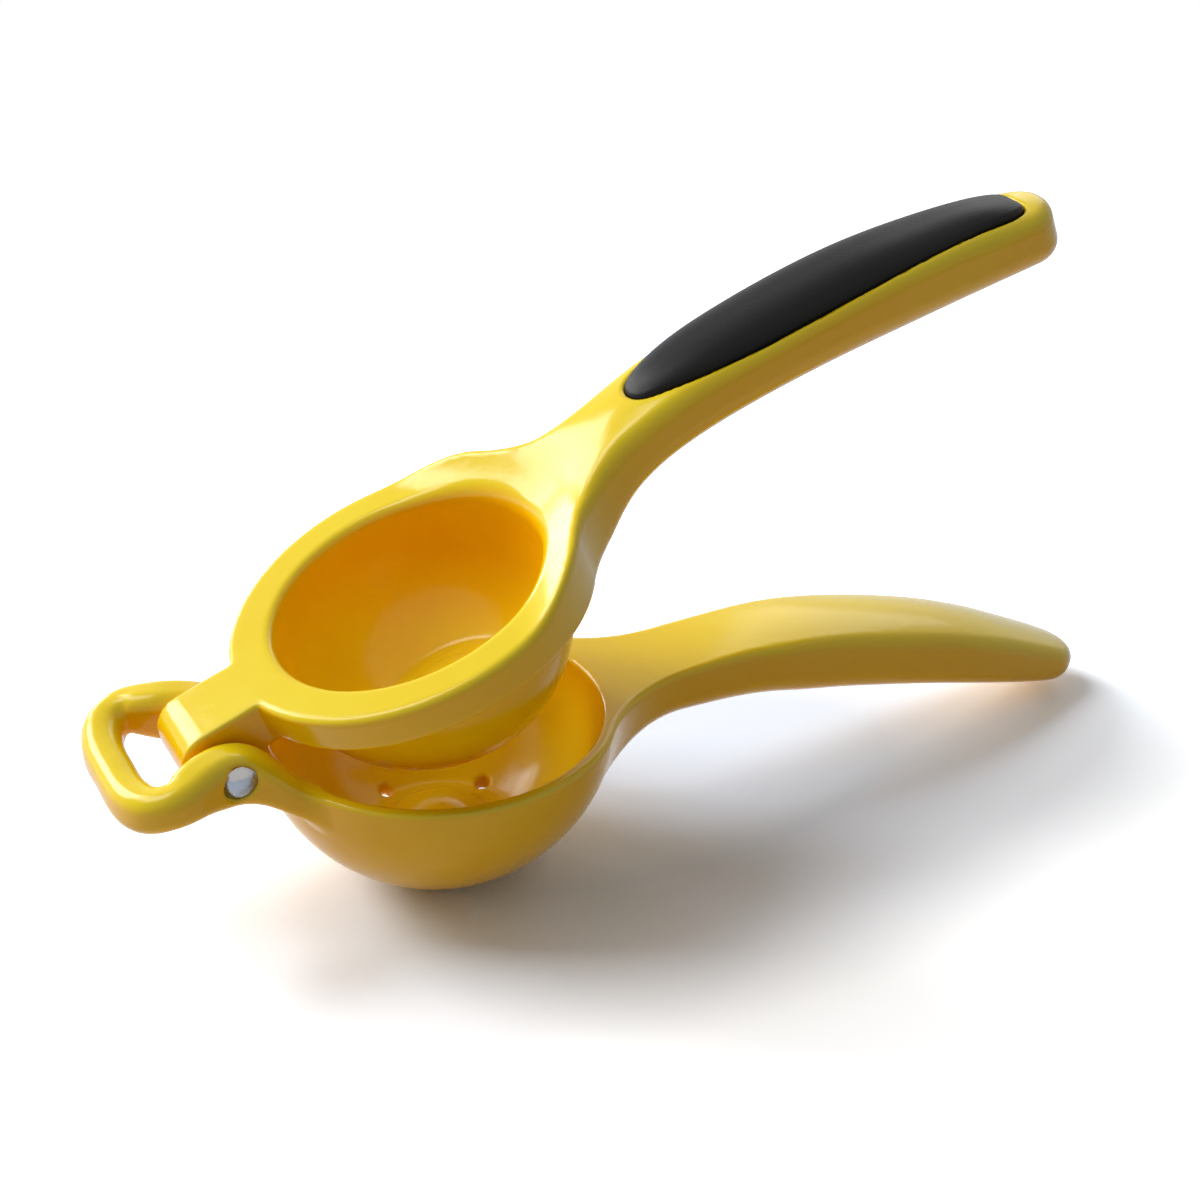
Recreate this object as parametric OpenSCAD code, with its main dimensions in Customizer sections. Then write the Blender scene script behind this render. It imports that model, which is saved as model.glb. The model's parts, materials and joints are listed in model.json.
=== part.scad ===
// Hinged citrus squeezer. The strainer arm stands on the floor, and the press arm turns over it on a pin.
// X runs from the hinge to the handles, Y along the pin and Z up, from the middle of the bowl's foot.

/* [Strainer bowl] */
// Radius of the bowl's round outside
bowl_r = 38; // [37:0.5:44]
// Height of the rim above the floor
rim_h = 35.5; // [33:0.5:36]
// Wall of the bowl
bowl_wall = 3; // [2.5:0.1:3.5]
// Radius of the rounded edges of the rim
rim_round = 1; // [0.6:0.1:1.2]
// Radius of the flat foot under the bowl
foot_r = 8.5; // [6:0.5:10]
// Radius of the raised dome in the bottom, at its base
dome_r = 13.5; // [11:0.5:15]
// Height of the dome over its base
dome_h = 9; // [5:0.5:10]
// Diameter of a drain hole
drain_d = 3.2; // [2:0.2:4]
// Radius of the ring of drain holes
drain_ring_r = 18; // [17.5:0.5:21]
// Number of drain holes
drain_count = 5; // [3:1:9]

/* [Hinge] */
// Distance from the bowl's side to the pin
pin_out = 10; // [9.5:0.5:14]
// Height of the pin above the rim
pin_lift = 7.4; // [7:0.1:9]
// Diameter of the pin
pin_d = 5; // [4:0.25:6]
// Diameter of the pin's round heads
head_d = 7.6; // [7:0.2:9]
// How far a head stands out of the ear
head_rise = 1.1; // [0.8:0.1:1.6]
// Depth of the seat sunk into the ear for a head
seat_depth = 0.8; // [0.5:0.1:1.2]
// Radial clearance round a head in its seat
seat_gap = 0.15; // [0.1:0.05:0.3]
// Width of the tongue between the ears
tongue_w = 17.2; // [15:0.2:18.4]
// Side clearance between the tongue and an ear
tongue_gap = 0.4; // [0.2:0.1:0.8]
// Radial clearance between the pin and the tongue
pin_gap = 0.06; // [0.03:0.01:0.1]
// Radial clearance of the riveted pin in the ears
rivet_gap = 0.02; // [0:0.01:0.03]
// Thickness of an ear along the pin
ear_t = 9; // [8:0.5:10]
// Height of the ears over the pin
ear_top = 6.2; // [5.6:0.2:7.4]
// Depth of the ears below the pin
ear_drop = 6.5; // [6:0.25:7.5]
// Reach of the tongue's nose behind the pin
nose_reach = 8.1; // [7.5:0.1:9]
// Radius of the nose's top edge
nose_round = 2.2; // [1.4:0.1:3]
// Radius of the nose's lower edge
nose_low_round = 5; // [4:0.25:6]

/* [Hanging loop] */
// Distance from the pin to the loop's far edge
loop_reach = 23.2; // [22.6:0.2:25]

/* [Press cup] */
// How far the plate round the cup reaches past the bowl's side
plate_lip = 0.3; // [0:0.1:0.6]
// Thickness of the plate
plate_t = 8.1; // [7:0.1:8.5]
// Height of the plate's face above the pin
plate_top = 7.1; // [6.5:0.1:7.5]
// Radius of the plate's rounded edge
plate_round = 1.4; // [1:0.1:2]
// Gap between the cup and the bowl's inside, for the pressed peel
peel_gap = 3.2; // [2.5:0.1:6]
// Wall of the cup
cup_wall = 3; // [2.5:0.1:3.5]
// Radius of the cup's rounded mouth
mouth_round = 1.6; // [1:0.1:2]
// Radius of the raised floor in the cup
cup_floor_r = 17; // [14:0.5:18]
// Height of the raised floor over its base
cup_floor_h = 5.6; // [3.6:0.2:6.4]
// Depth of the tongue under the pin where it meets the plate
tongue_drop = 2.7; // [2:0.1:4]
// Depth of the tongue's nose under the pin
nose_drop = 5.6; // [5:0.2:6.4]

/* [Strainer handle] */
// Distance from the bowl's middle to the handle's tip
strainer_reach = 164.6; // [150:1:180]
// Width of the strainer handle
strainer_grip_w = 23; // [20:0.2:26]
// Height of the strainer handle's back
strainer_back_h = 36; // [35:0.1:36.5]

/* [Press handle] */
// Distance from the pin to the press handle's tip
press_reach = 208.5; // [200:1:222]
// Rise of the press handle's back above the pin
press_rise = 22; // [20:0.2:24]
// Width of the press handle
press_grip_w = 23; // [21:0.2:25]

/* [Grip pad] */
// Width of the soft pad
pad_w = 19; // [17:0.2:20]
// Gap between the pad and the side of its recess
pad_gap = 0.35; // [0.2:0.05:0.5]
// Depth of the recess under the handle's edge line
recess_depth = 2.6; // [2:0.1:3.2]
// Thickness of the glue under the pad
glue_t = 0.1; // [0.05:0.05:0.2]

/* [Pose] */
// Angle of the press arm above the strainer's rim
open_angle = 20.6; // [-3:0.2:90]

/* [Hidden] */
over = 1;
round_fn = 144;
bore_fn = 72;
long_arc = 16;
short_arc = 5;
span_steps = 3;
bar_half_share = 0.56;
grip_sides = 28;
bar_sides = 16;
pad_sides = 24;
// Roundness of the sections' quarters: 2 is an ellipse, more is squarer
side_power = 3;
belly_power = 3.2;
crown_power = 2.2;
bar_power = 2.6;
pad_wall_power = 8;
pad_crown_power = 2.4;
paint = [0.98, 0.76, 0.03];
steel = [0.78, 0.78, 0.80];
rubber = [0.08, 0.08, 0.08];

// The bowl's sphere cuts the floor in the foot's circle, which sets the height of its middle
bowl_z = sqrt(bowl_r * bowl_r - foot_r * foot_r);
bowl_in_r = bowl_r - bowl_wall;
plate_r = bowl_r + plate_lip;
cup_r = bowl_in_r - peel_gap;
pin_back = bowl_r + pin_out;
rim_down = bowl_z - rim_h + rim_round;
rim_out_r = sqrt(bowl_r * bowl_r - rim_down * rim_down);
rim_in_r = sqrt(bowl_in_r * bowl_in_r - rim_down * rim_down);
dome_z = bowl_z - sqrt(bowl_in_r * bowl_in_r - dome_r * dome_r);
pin_z = rim_h + pin_lift;
ear_in = tongue_w / 2 + tongue_gap;
ear_out = ear_in + ear_t;
// The bar is a little wider than an ear, and the slot cuts the ear's inner side flat
bar_half = ear_t * bar_half_share;
ear_mid = ear_out - bar_half;
seat_y = ear_out - seat_depth;
plate_low = plate_top - plate_t;
cup_in_r = cup_r - cup_wall;
mouth_r = cup_in_r + mouth_round;
cup_floor_z = -sqrt(cup_in_r * cup_in_r - cup_floor_r * cup_floor_r);
dimple_r = cup_floor_r * cup_r / (cup_r + cup_wall);
dimple_z = -sqrt(cup_r * cup_r - dimple_r * dimple_r);
dimple_h = cup_floor_z + cup_floor_h - cup_wall - dimple_z;
tie_angle = 31;
tie_r = bowl_in_r - bowl_wall;
tie_x = tie_r * cos(tie_angle);
tie_y = tie_r * sin(tie_angle);

// Each row: place, side, half width, top and bottom. The place is a share of the way from the pin to the
// bar's root (below 0) or to the loop's far edge. The others are shares of the ear's middle, half the bar,
// the ear's peak over the rim and the ear's depth under the pin
loop_shares = [
  [-1.00, 1.00, 0.28, -0.10, 2.40],
  [-0.78, 1.00, 0.56, 0.00, 2.30],
  [-0.52, 1.00, 0.84, 0.38, 1.75],
  [-0.25, 1.00, 0.98, 0.86, 1.15],
  [0.00, 1.00, 1.00, 1.00, 1.00],
  [0.16, 1.07, 0.92, 0.95, 0.92],
  [0.34, 1.30, 0.78, 0.82, 0.76],
  [0.52, 1.48, 0.74, 0.76, 0.72],
  [0.68, 1.40, 0.76, 0.71, 0.74],
  [0.80, 1.00, 0.79, 0.67, 0.81],
  [0.845, 0.40, 0.81, 0.65, 0.83]
];

// Each row: place, crown, edge line, belly and half width, as shares of the reach, the back's height and
// half the width
strainer_grip_shares = [
  [0.180, 0.970, 0.920, 0.54, 1.55],
  [0.217, 0.975, 0.940, 0.60, 1.42],
  [0.250, 0.985, 0.955, 0.66, 1.14],
  [0.300, 0.998, 0.970, 0.67, 0.96],
  [0.398, 1.000, 0.965, 0.64, 0.94],
  [0.506, 1.000, 0.940, 0.545, 0.98],
  [0.620, 0.938, 0.862, 0.440, 1.00],
  [0.723, 0.815, 0.740, 0.330, 0.97],
  [0.813, 0.652, 0.585, 0.225, 0.91],
  [0.892, 0.480, 0.424, 0.125, 0.82],
  [0.952, 0.330, 0.270, 0.042, 0.68],
  [0.985, 0.235, 0.170, 0.008, 0.46],
  [0.998, 0.180, 0.130, 0.030, 0.18],
  [1.000, 0.122, 0.112, 0.095, 0.03]
];

// Each row as above, as shares of the press handle's reach, rise and width
press_grip_shares = [
  [0.314, 0.300, 0.230, -0.045, 2.20],
  [0.352, 0.312, 0.250, -0.050, 2.14],
  [0.381, 0.370, 0.310, -0.075, 1.70],
  [0.402, 0.480, 0.410, -0.105, 1.39],
  [0.424, 0.580, 0.500, -0.095, 1.18],
  [0.452, 0.725, 0.635, 0.020, 1.03],
  [0.495, 0.860, 0.758, 0.175, 0.95],
  [0.540, 0.920, 0.812, 0.250, 0.94],
  [0.629, 0.920, 0.820, 0.265, 0.98],
  [0.705, 0.880, 0.785, 0.225, 1.00],
  [0.781, 0.815, 0.720, 0.150, 0.98],
  [0.862, 0.700, 0.605, 0.055, 0.94],
  [0.933, 0.570, 0.470, -0.045, 0.86],
  [0.967, 0.490, 0.360, -0.110, 0.74],
  [0.987, 0.390, 0.220, -0.130, 0.54],
  [0.998, 0.220, 0.080, -0.090, 0.24],
  [1.000, 0.060, 0.010, -0.040, 0.04]
];

// Each row: place, crown, edge line and half width, as shares of the reach, the rise and the pad's width
pad_shares = [
  [0.5020, 0.840, 0.820, 0.08],
  [0.5040, 0.870, 0.826, 0.26],
  [0.5090, 0.895, 0.836, 0.42],
  [0.5250, 0.945, 0.850, 0.62],
  [0.5570, 0.985, 0.872, 0.82],
  [0.6290, 1.015, 0.893, 0.97],
  [0.7050, 0.995, 0.865, 1.00],
  [0.7810, 0.930, 0.800, 0.98],
  [0.8620, 0.805, 0.692, 0.91],
  [0.9190, 0.700, 0.600, 0.82],
  [0.9500, 0.635, 0.545, 0.72],
  [0.9620, 0.590, 0.525, 0.54],
  [0.9660, 0.545, 0.515, 0.30]
];

function blend(a, b, c, d, t) =
  b + t * (c - a + t * (2 * a - 5 * b + 4 * c - d + t * (3 * b - a - 3 * c + d))) / 2;
// The row of a table at place t, on a smooth curve through all rows
function row_at(rows, t) =
  let(last = len(rows) - 1, i = min(floor(t), last - 1))
  blend(rows[max(i - 1, 0)], rows[i], rows[i + 1], rows[min(i + 2, last)], t - i);
function smooth_rows(rows, steps) = [for (k = [0 : steps * (len(rows) - 1)]) row_at(rows, k / steps)];
function arc(cx, cy, r, from, to, steps) =
  [for (k = [0 : steps]) let(a = from + (to - from) * k / steps) [cx + r * cos(a), cy + r * sin(a)]];
function power(base, n) = sign(base) * pow(abs(base), 2 / n);
function cap_r(half, rise) = (half * half + rise * rise) / (2 * rise);
// Half outline of a round cap from its edge to its top, standing on height z
function cap(half, rise, z) =
  let(r = cap_r(half, rise)) arc(0, z + rise - r, r, asin((r - rise) / r), 90, short_arc);

// One ring of a handle: a crown over the edge line and a fuller belly below it
function grip_ring(x, crown, edge, belly, half) =
  [for (k = [0 : grip_sides - 1])
    let(a = 360 * k / grip_sides, up = sin(a) >= 0, rise = up ? crown - edge : edge - belly)
    [x, half * power(cos(a), up ? side_power : belly_power),
      edge + rise * power(sin(a), up ? crown_power : belly_power)]];
// One ring of the pad: a flat underside, upright sides and a crown
function pad_ring(x, crown, edge, floor_z, half) =
  [for (k = [0 : pad_sides - 1])
    let(a = 360 * k / pad_sides, up = sin(a) >= 0, rise = up ? crown - edge : edge - floor_z)
    [x, half * power(cos(a), up ? side_power : pad_wall_power),
      edge + rise * power(sin(a), up ? pad_crown_power : pad_wall_power)]];

// A closed solid through rings with equal numbers of points
module skin(rings) {
  n = len(rings[0]);
  m = len(rings);
  polyhedron(
    points = [for (r = rings) each r],
    faces = concat(
      [[for (k = [0 : n - 1]) k]],
      [for (i = [0 : m - 2]) for (k = [0 : n - 1]) let(j = (k + 1) % n)
        each [[i * n + k, (i + 1) * n + k, (i + 1) * n + j], [i * n + k, (i + 1) * n + j, i * n + j]]],
      [[for (k = [n - 1 : -1 : 0]) (m - 1) * n + k]]),
    convexity = 6);
}

// Drawn in the press arm's own frame: the pin at the origin, the plate's face level
module at_press() {
  translate([-pin_back, 0, pin_z]) rotate([0, -open_angle, 0]) children();
}

module along_pin(r, from, to) {
  translate([0, from, 0]) rotate([-90, 0, 0]) cylinder(h = to - from, r = r, $fn = bore_fn);
}

// Outside of the strainer bowl, filled
module bowl_body() {
  rotate_extrude($fn = round_fn) polygon(concat(
    [[0, 0]],
    arc(0, bowl_z, bowl_r, -acos(foot_r / bowl_r), -asin(rim_down / bowl_r), long_arc),
    arc(rim_out_r - rim_round, rim_h - rim_round, rim_round, 0, 90, short_arc),
    [[0, rim_h]]));
}

// Hollow of the strainer bowl, with its raised dome and a way out above
module bowl_hollow() {
  rotate_extrude($fn = round_fn) polygon(concat(
    [[0, rim_h + ear_top + pin_lift + over], [rim_in_r + rim_round, rim_h + ear_top + pin_lift + over]],
    arc(rim_in_r + rim_round, rim_h - rim_round, rim_round, 90, 180, short_arc),
    arc(0, bowl_z, bowl_in_r, -asin(rim_down / bowl_in_r), -acos(dome_r / bowl_in_r), long_arc),
    cap(dome_r, dome_h, dome_z)));
}

module strainer_grip() {
  h = strainer_back_h;
  skin([for (r = smooth_rows(strainer_grip_shares, span_steps))
    grip_ring(r[0] * strainer_reach, r[1] * h, r[2] * h, r[3] * h, r[4] * strainer_grip_w / 2)]);
}

// Middle of the ear's bar in plan, on one side, then its half width, top and bottom
function bar_row(r) = let(s = r[0]) [
  s < 0 ? -pin_back - s * (pin_back - tie_x) : -pin_back - s * loop_reach,
  s < 0 ? ear_mid - s * (tie_y - ear_mid) : r[1] * ear_mid,
  r[2] * bar_half,
  rim_h + r[3] * (pin_lift + ear_top),
  pin_z - r[4] * ear_drop];

function mirrored(r) = [r[0], -r[1], r[2], r[3], r[4]];
// One ring of the bar, square to its way in plan from row p to row q
function bar_ring(r, p, q) =
  let(way = [q[0] - p[0], q[1] - p[1]], d = way / norm(way))
  [for (k = [0 : bar_sides - 1])
    let(a = 360 * k / bar_sides, w = r[2] * power(cos(a), bar_power))
    [r[0] - d[1] * w, r[1] + d[0] * w, (r[3] + r[4]) / 2 + (r[3] - r[4]) / 2 * power(sin(a), bar_power)]];

// Ears and hanging loop: one rounded bar, bent from one side of the bowl past the pin and back to the other
module ears_and_loop() {
  half = [for (r = smooth_rows(loop_shares, span_steps)) bar_row(r)];
  last = len(half) - 1;
  rows = concat(half, [for (k = [last : -1 : 0]) mirrored(half[k])]);
  end = len(rows) - 1;
  skin([for (i = [0 : end]) bar_ring(rows[i], rows[max(i - 1, 0)], rows[min(i + 1, end)])]);
}

module strainer_arm() {
  slot_front = pin_back - rim_in_r;
  color(paint) difference() {
    union() {
      bowl_body();
      strainer_grip();
      ears_and_loop();
    }
    bowl_hollow();
    // Slot between the ears for the tongue, open above the rim
    translate([-pin_back - nose_reach - over, -ear_in, rim_h + over])
      cube([nose_reach + slot_front + over, 2 * ear_in, pin_lift + ear_top]);
    translate([-pin_back, 0, pin_z]) {
      along_pin(pin_d / 2 + rivet_gap, -ear_out - over, ear_out + over);
      for (side = [0, 1]) mirror([0, side, 0]) along_pin(head_d / 2 + seat_gap, seat_y, ear_out + ear_t);
    }
    for (k = [0 : drain_count - 1])
      rotate([0, 0, 360 * (k + 0.5) / drain_count]) translate([drain_ring_r, 0, -over])
        cylinder(h = bowl_z, r = drain_d / 2, $fn = bore_fn);
  }
}

// Outside of the plate and cup, filled, about the cup's own axis
module cup_body() {
  plate_in = plate_r - plate_round;
  rotate_extrude($fn = round_fn) polygon(concat(
    [[0, plate_top]],
    arc(plate_in, plate_top - plate_round, plate_round, 90, 0, short_arc),
    arc(plate_in, plate_low + plate_round, plate_round, 0, -90, short_arc),
    arc(0, 0, cup_r, asin(plate_low / cup_r), -acos(dimple_r / cup_r), long_arc),
    cap(dimple_r, dimple_h, dimple_z)));
}

// Hollow of the cup, with its raised floor and rounded mouth
module cup_hollow() {
  rotate_extrude($fn = round_fn) polygon(concat(
    [[0, plate_top + press_rise], [mouth_r, plate_top + press_rise]],
    arc(mouth_r, plate_top - mouth_round, mouth_round, 90, 180, short_arc),
    arc(0, 0, cup_in_r, 0, -acos(cup_floor_r / cup_in_r), long_arc),
    cap(cup_floor_r, cup_floor_h, cup_floor_z)));
}

module press_grip() {
  h = press_rise;
  skin([for (r = smooth_rows(press_grip_shares, span_steps))
    grip_ring(r[0] * press_reach, r[1] * h, r[2] * h, r[3] * h, r[4] * press_grip_w / 2)]);
}

// Space of the pad, grown by a gap at its sides and ends
module pad_form(gap, lift, top) {
  rows = smooth_rows(pad_shares, span_steps);
  end = len(rows) - 1;
  skin([for (i = [0 : end]) let(r = rows[i], away = i == 0 ? -gap : i == end ? gap : 0)
    pad_ring(r[0] * press_reach + away, r[1] * press_rise + top, r[2] * press_rise,
      r[2] * press_rise - recess_depth + lift, r[3] * pad_w / 2 + gap)]);
}

module tongue() {
  reach = pin_back - mouth_r;
  translate([0, tongue_w / 2, 0]) rotate([90, 0, 0]) linear_extrude(tongue_w) polygon(concat(
    [[reach, plate_top]],
    arc(nose_round - nose_reach, plate_top - nose_round, nose_round, 90, 180, short_arc),
    arc(nose_low_round - nose_reach, nose_low_round - nose_drop, nose_low_round, 180, 270, short_arc),
    [[reach - nose_reach, -tongue_drop], [reach, -tongue_drop]]));
}

module press_arm() {
  color(paint) at_press() difference() {
    union() {
      translate([pin_back, 0, 0]) cup_body();
      tongue();
      press_grip();
    }
    translate([pin_back, 0, 0]) cup_hollow();
    along_pin(pin_d / 2 + pin_gap, -tongue_w, tongue_w);
    pad_form(pad_gap, 0, press_rise);
  }
}

module hinge_pin() {
  head_r = head_d / 2;
  round_r = cap_r(head_r, head_rise);
  color(steel) translate([-pin_back, 0, pin_z]) {
    along_pin(pin_d / 2, -seat_y - seat_depth / 2, seat_y + seat_depth / 2);
    for (side = [0, 1]) mirror([0, side, 0]) {
      along_pin(head_r, seat_y, ear_out);
      intersection() {
        along_pin(head_r, ear_out - seat_depth / 2, ear_out + head_rise + over);
        translate([0, ear_out + head_rise - round_r, 0]) sphere(r = round_r, $fn = round_fn);
      }
    }
  }
}

module grip_pad() {
  color(rubber) at_press() pad_form(0, glue_t, 0);
}

strainer_arm();
press_arm();
hinge_pin();
grip_pad();
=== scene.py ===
import json
import math

import bpy
import numpy as np
from bpy.props import FloatProperty, FloatVectorProperty, IntProperty, PointerProperty
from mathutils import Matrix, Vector


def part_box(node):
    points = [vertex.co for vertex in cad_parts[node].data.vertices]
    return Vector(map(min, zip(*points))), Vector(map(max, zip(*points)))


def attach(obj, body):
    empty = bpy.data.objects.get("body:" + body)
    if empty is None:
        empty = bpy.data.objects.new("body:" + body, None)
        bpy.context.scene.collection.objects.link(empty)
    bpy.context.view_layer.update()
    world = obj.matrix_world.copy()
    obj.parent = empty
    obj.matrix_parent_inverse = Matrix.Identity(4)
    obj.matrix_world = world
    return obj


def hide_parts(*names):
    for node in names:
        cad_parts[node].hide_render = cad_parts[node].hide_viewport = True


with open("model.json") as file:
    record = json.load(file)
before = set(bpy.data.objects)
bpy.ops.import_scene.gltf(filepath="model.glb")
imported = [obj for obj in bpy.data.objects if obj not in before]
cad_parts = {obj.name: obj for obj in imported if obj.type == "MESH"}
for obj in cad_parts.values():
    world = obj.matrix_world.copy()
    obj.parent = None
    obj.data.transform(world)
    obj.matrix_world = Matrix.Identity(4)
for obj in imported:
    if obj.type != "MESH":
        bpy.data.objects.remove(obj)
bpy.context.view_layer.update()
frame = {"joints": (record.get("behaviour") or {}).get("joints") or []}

bl_info = {
    "name": "Citrus Squeezer",
    "version": (1, 0, 0),
    "blender": (4, 5, 0),
    "location": "3D View > Sidebar > Squeezer",
    "description": "A hinged citrus squeezer: two enamelled castings, a riveted pin and a soft grip pad",
    "category": "Add Mesh",
}

HINGE = frame["joints"][0]
PIN_X, _, PIN_Z = HINGE["pos_m"]
MM = 0.001


def length(name, text, value, low=0.0):
    """A size in metres, given in millimetres, for a property group."""
    return FloatProperty(name=name, description=text, default=value * MM, min=low * MM,
                         unit="LENGTH", precision=5)


class BowlSizes(bpy.types.PropertyGroup):
    """Sizes of the strainer bowl."""
    radius: length("Radius", "Radius of the bowl's round outside", 38)
    rim: length("Rim height", "Height of the rim above the floor", 35.5)
    wall: length("Wall", "Thickness of the bowl's wall", 3)
    rim_round: length("Rim rounding", "Radius of the rim's edges", 1.0)
    foot: length("Foot", "Radius of the flat foot", 8.5)
    foot_round: length("Foot rounding", "Radius of the foot's edge", 0.2)
    dome: length("Dome radius", "Radius of the raised dome at its base", 13.5)
    dome_height: length("Dome height", "Height of the dome over its base", 9)
    dome_blend: length("Dome blend", "Radius of the hollow round the dome", 5)
    drain: length("Drain hole", "Radius of a drain hole", 1.4)
    drain_ring: length("Drain ring", "Radius of the ring of drain holes", 18)
    drain_round: length("Drain rounding", "Radius of a drain hole's mouth", 0.4)
    drains: IntProperty(name="Drain holes", description="Number of drain holes", default=5, min=1)


class HingeSizes(bpy.types.PropertyGroup):
    """Sizes of the ears, the pin and the tongue."""
    pin: length("Pin", "Radius of the pin", 2.5)
    head: length("Head", "Radius of the pin's round heads", 3.5)
    head_rise: length("Head rise", "How far a head stands out of the ear", 1.1)
    head_soft: length("Head edge", "Radius of a head's edge", 0.4)
    seat_depth: length("Seat depth", "Depth of the seat sunk into the ear", 0.8)
    seat_gap: length("Seat gap", "Clearance round a head in its seat", 0.1)
    seat_round: length("Seat rounding", "Radius of the seat's edge", 0.2)
    bore_gap: length("Bore gap", "Radial clearance round the pin", 0.06)
    tongue: length("Tongue", "Half the tongue's width", 8.6)
    tongue_gap: length("Tongue gap", "Clearance between the tongue and an ear", 0.4)
    tongue_round: length("Tongue rounding", "Radius of the tongue's long edges", 0.7)
    tongue_blend: length("Tongue blend", "Radius of the hollow between the tongue and the plate", 0.6)
    nose: length("Nose", "Reach of the tongue's nose behind the pin", 8.4)
    nose_round: length("Nose rounding", "Radius of the nose's top edge", 6.6)
    nose_low: length("Nose depth", "Depth of the nose under the pin", 5.6)
    nose_low_round: length("Nose lower rounding", "Radius of the nose's lower edge", 5)
    tongue_low: length("Tongue depth", "Depth of the tongue under the pin at the plate", 2.7)
    ear: length("Ear", "Thickness of an ear", 9)
    ear_round: length("Ear rounding", "Radius of the bar's upper edges", 3.6)
    ear_under: length("Ear underside", "Radius of the bar's lower edges", 2.6)
    slot_floor: length("Slot floor", "Height of the slot's floor over the rim", 1)
    slot_round: length("Slot rounding", "Radius of the slot's edges", 0.8)
    web_blend: length("Web blend", "Radius of the hollow between an ear and the bowl", 3)


class CupSizes(bpy.types.PropertyGroup):
    """Sizes of the press cup and its plate."""
    plate: length("Plate", "Radius of the plate", 38.3)
    face: length("Face", "Height of the plate's face over the pin", 7.1)
    radius: length("Radius", "Radius of the cup's round outside", 31.8)
    ball_depth: length("Ball depth", "Depth under the plate's face where the cup's round outside ends", 5)
    ball_round: length("Ball rounding", "Radius of the edge round the hollow in the cup's underside", 3)
    wall: length("Wall", "Thickness of the cup's wall", 3)
    mouth_round: length("Mouth rounding", "Radius of the cup's mouth towards the hinge", 1.6)
    mouth_neck: length("Mouth at the neck", "Radius of the cup's mouth towards the neck", 3)
    under_blend: length("Underside blend", "Radius of the hollow under the plate", 2)
    dome: length("Floor radius", "Radius of the raised floor at its base", 15)
    dome_height: length("Floor height", "Height of the raised floor over its base", 6.2)
    dome_blend: length("Floor blend", "Radius of the hollow round the raised floor", 4)


class HandleSizes(bpy.types.PropertyGroup):
    """Sizes of the two handles."""
    strainer_reach: length("Strainer reach", "From the bowl's middle to the lower tip", 164.6)
    strainer_flare: length("Strainer flare", "Radius of the flare into the bowl", 32)
    strainer_tip: length("Strainer tip", "Radius of the lower tip in plan", 7.5)
    tip_lean: FloatProperty(name="Tip lean", description="How far the lower tip's end leans in over its "
                            "height, as a share of it", default=0.2)
    tip_level: length("Tip level", "Height at which the lower tip has its reach", 9)
    press_reach: length("Press reach", "From the pin to the upper tip", 208.5)
    press_flare: length("Press flare", "Radius of the flare into the plate", 26)
    press_tip: length("Press tip", "Radius of the upper tip in plan", 8.5)
    neck_middle: length("Neck middle", "Half the width over which the neck's ridge is level", 6)
    neck_soft: length("Neck start", "Height over which the neck rises out of the plate", 5)
    pad_gap: length("Pad gap", "Gap round the pad in its recess", 0.1)
    pad_depth: length("Pad depth", "Depth of the pad's underside below its edge", 2.5)
    pad_round: length("Pad rounding", "Radius of the pad's upper edge", 0.7)
    lip_round: length("Lip rounding", "Radius of the recess's lip", 1.0)
    rise: FloatProperty(name="Opening", description="Angle of the press arm above level",
                        default=math.radians(20.6), subtype="ANGLE")
    step: length("Mesh step", "Width of a face of the castings", 0.65, low=0.3)


# Each row is a place along the handle and a value there, in millimetres. A crown is the height of the top
# in its middle, a drop its fall to the edge, a belly the height of the underside, a half half the width,
# and an edge and an under the radii of the upper and lower edges. The lead is how far the crown runs ahead
# for each millimetre away from the middle. The strainer arm's places count from the bowl's middle, and the
# press arm's from the pin.
LOWER_CROWN = ((36, 35.5), (45, 35.6), (60, 36.3), (70, 36.8), (77, 36.8), (84, 36.5), (93, 35.5),
               (102, 33.8), (110, 31.9), (119, 29.4), (127, 26.8), (134, 24.1), (141, 21.1), (147, 18.2),
               (157, 13.2), (166, 8.4))
LOWER_DROP = ((40, 0.0), (60, 0.1), (70, 0.5), (84, 1.2), (102, 2.0), (119, 2.2), (147, 1.6), (166, 1.2))
LOWER_BELLY = ((20, 4.0), (27, 9.5), (32, 15.6), (36, 19.6), (40, 22.1), (45, 23.7), (52, 24.4),
               (60, 24.0), (70, 23.3), (77, 22.6), (84, 21.3), (93, 19.7), (102, 17.9), (119, 13.9),
               (134, 9.6), (147, 5.5), (157, 2.6), (166, 0.6))
LOWER_HALF = ((20, 10.4), (60, 10.4), (69, 10.6), (77, 11.3), (93, 12.0), (110, 12.2), (119, 12.0),
              (134, 11.2), (147, 9.9), (157, 8.8), (166, 7.9))
LOWER_EDGE = ((34, 1.0), (44, 1.2), (60, 1.6), (80, 2.2), (110, 2.6), (140, 2.6), (166, 2.4))
LOWER_UNDER = ((20, 2.0), (40, 3.5), (60, 5.5), (110, 5.5), (150, 4.6), (166, 5.6))

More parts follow.
